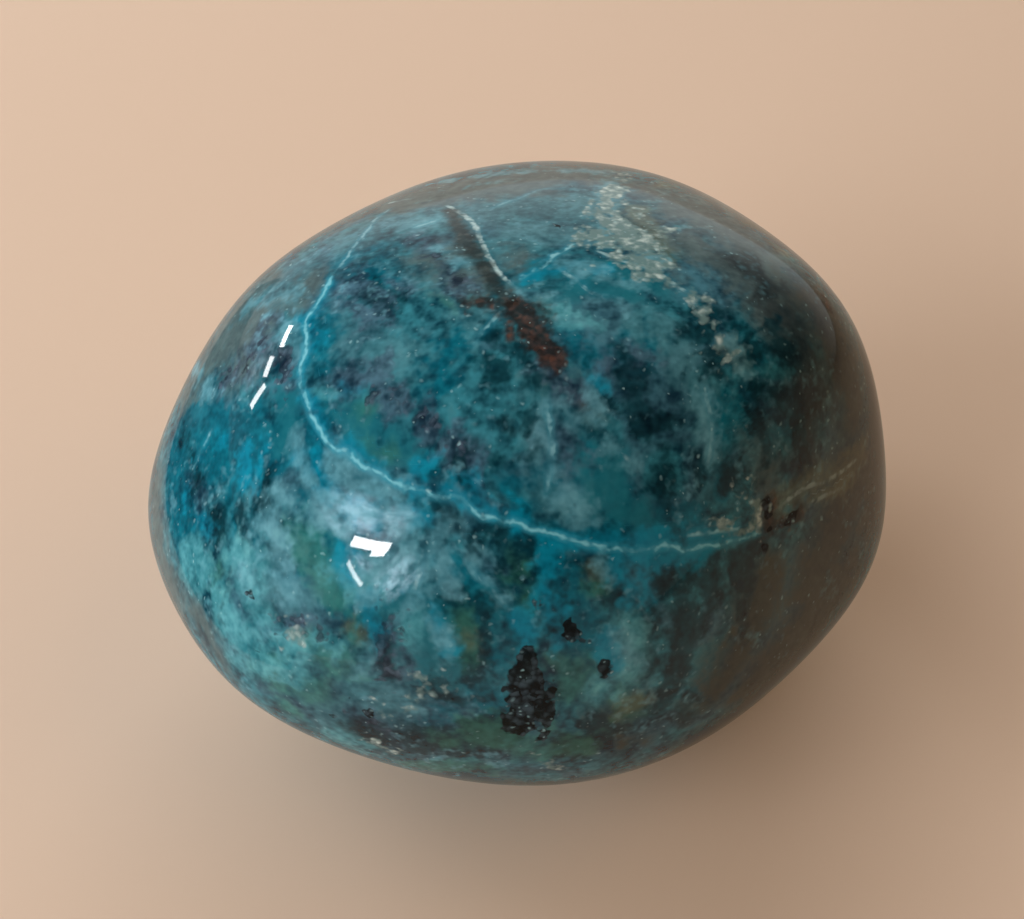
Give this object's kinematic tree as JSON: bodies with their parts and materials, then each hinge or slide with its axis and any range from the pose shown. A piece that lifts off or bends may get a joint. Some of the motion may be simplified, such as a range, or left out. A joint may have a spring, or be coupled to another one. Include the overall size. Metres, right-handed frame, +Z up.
{
  "type": "tumbled stone",
  "caption": "Tumbled chrysocolla: a rounded, polished pebble with softly worn faces, slightly longer than wide, resting on its flattest side.",
  "frame": {"origin": "under the middle of the stone's box, on the surface that it rests on", "axes": "+X along the stone's longest extent, +Y across it towards the back, +Z up, its shortest extent"},
  "size_m": [0.0296, 0.0266, 0.021],
  "materials": {
    "polished_chrysocolla": "polished, mottled teal, slate and green with thin pale veins and small brown-black patches"
  },
  "bodies": {
    "root": {"stone": "polished_chrysocolla"}
  },
  "joints": []
}
